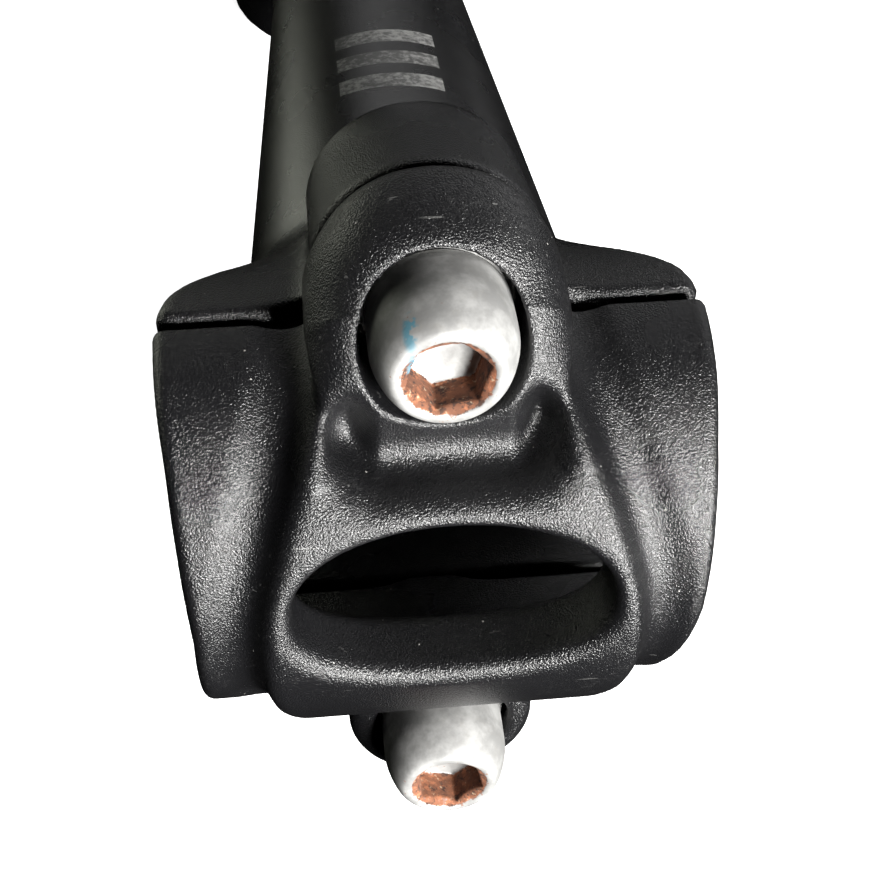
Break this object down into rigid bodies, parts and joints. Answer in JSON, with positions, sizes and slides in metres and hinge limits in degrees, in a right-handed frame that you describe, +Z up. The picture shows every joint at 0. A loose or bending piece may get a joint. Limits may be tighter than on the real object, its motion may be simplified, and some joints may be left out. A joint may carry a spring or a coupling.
{
  "type": "bicycle handlebar stem",
  "caption": "Threadless bicycle handlebar stem with a windowed two-bolt faceplate, a hollow extension and a split steerer clamp.",
  "frame": {"origin": "middle of the steerer bore, on its axis", "axes": "+X along the handlebar, +Y towards the rear of the steerer clamp with the faceplate facing -Y, +Z up along the steerer"},
  "size_m": [0.0376, 0.175, 0.0676],
  "materials": {
    "body_coat": "satin black powder coat over forged aluminium",
    "faceplate_coat": "finely pebbled satin black powder coat",
    "zinc_bolt": "dull zinc-plated steel with rust in the hexagon sockets",
    "zinc_washer": "dull zinc-plated steel"
  },
  "bodies": {
    "body": {"stem_body": "body_coat"},
    "cap": {"faceplate": "faceplate_coat", "faceplate_washer_upper": "zinc_washer", "faceplate_washer_lower": "zinc_washer"},
    "cap_bolt_upper": {"faceplate_bolt_upper": "zinc_bolt"},
    "cap_bolt_lower": {"faceplate_bolt_lower": "zinc_bolt"},
    "pinch_seat_upper": {"pinch_washer_upper": "zinc_washer"},
    "pinch_screw_upper": {"pinch_bolt_upper": "zinc_bolt"},
    "pinch_seat_lower": {"pinch_washer_lower": "zinc_washer"},
    "pinch_screw_lower": {"pinch_bolt_lower": "zinc_bolt"}
  },
  "joints": [
    {"name": "faceplate_slide", "type": "slide", "parent": "body", "child": "cap", "axis": [0, -0.9945, 0.1045], "range_m": [0, 0.01]},
    {"name": "faceplate_bolt_upper_turn", "type": "hinge", "parent": "cap", "child": "cap_bolt_upper", "pos_m": [0, -0.13458, 0.0398], "axis": [0, -0.9945, 0.1045], "range_deg": [0, 3600]},
    {"name": "faceplate_bolt_lower_turn", "type": "hinge", "parent": "cap", "child": "cap_bolt_lower", "pos_m": [0, -0.14282, -0.00036], "axis": [0, -0.9945, 0.1045], "range_deg": [0, 3600]},
    {"name": "pinch_upper_slide", "type": "slide", "parent": "body", "child": "pinch_seat_upper", "axis": [1, 0, 0], "range_m": [0, 0.008]},
    {"name": "pinch_bolt_upper_turn", "type": "hinge", "parent": "pinch_seat_upper", "child": "pinch_screw_upper", "pos_m": [0.012, 0.0206, 0.011], "axis": [1, 0, 0], "range_deg": [0, 2880]},
    {"name": "pinch_lower_slide", "type": "slide", "parent": "body", "child": "pinch_seat_lower", "axis": [-1, 0, 0], "range_m": [0, 0.008]},
    {"name": "pinch_bolt_lower_turn", "type": "hinge", "parent": "pinch_seat_lower", "child": "pinch_screw_lower", "pos_m": [-0.012, 0.0206, -0.011], "axis": [-1, 0, 0], "range_deg": [0, 2880]}
  ],
  "couplings": [
    {"joint": "faceplate_bolt_upper_turn", "follows": "faceplate_slide", "rad_per_m": 6283.2},
    {"joint": "faceplate_bolt_lower_turn", "follows": "faceplate_slide", "rad_per_m": 6283.2},
    {"joint": "pinch_bolt_upper_turn", "follows": "pinch_upper_slide", "rad_per_m": 6283.2},
    {"joint": "pinch_bolt_lower_turn", "follows": "pinch_lower_slide", "rad_per_m": 6283.2}
  ]
}
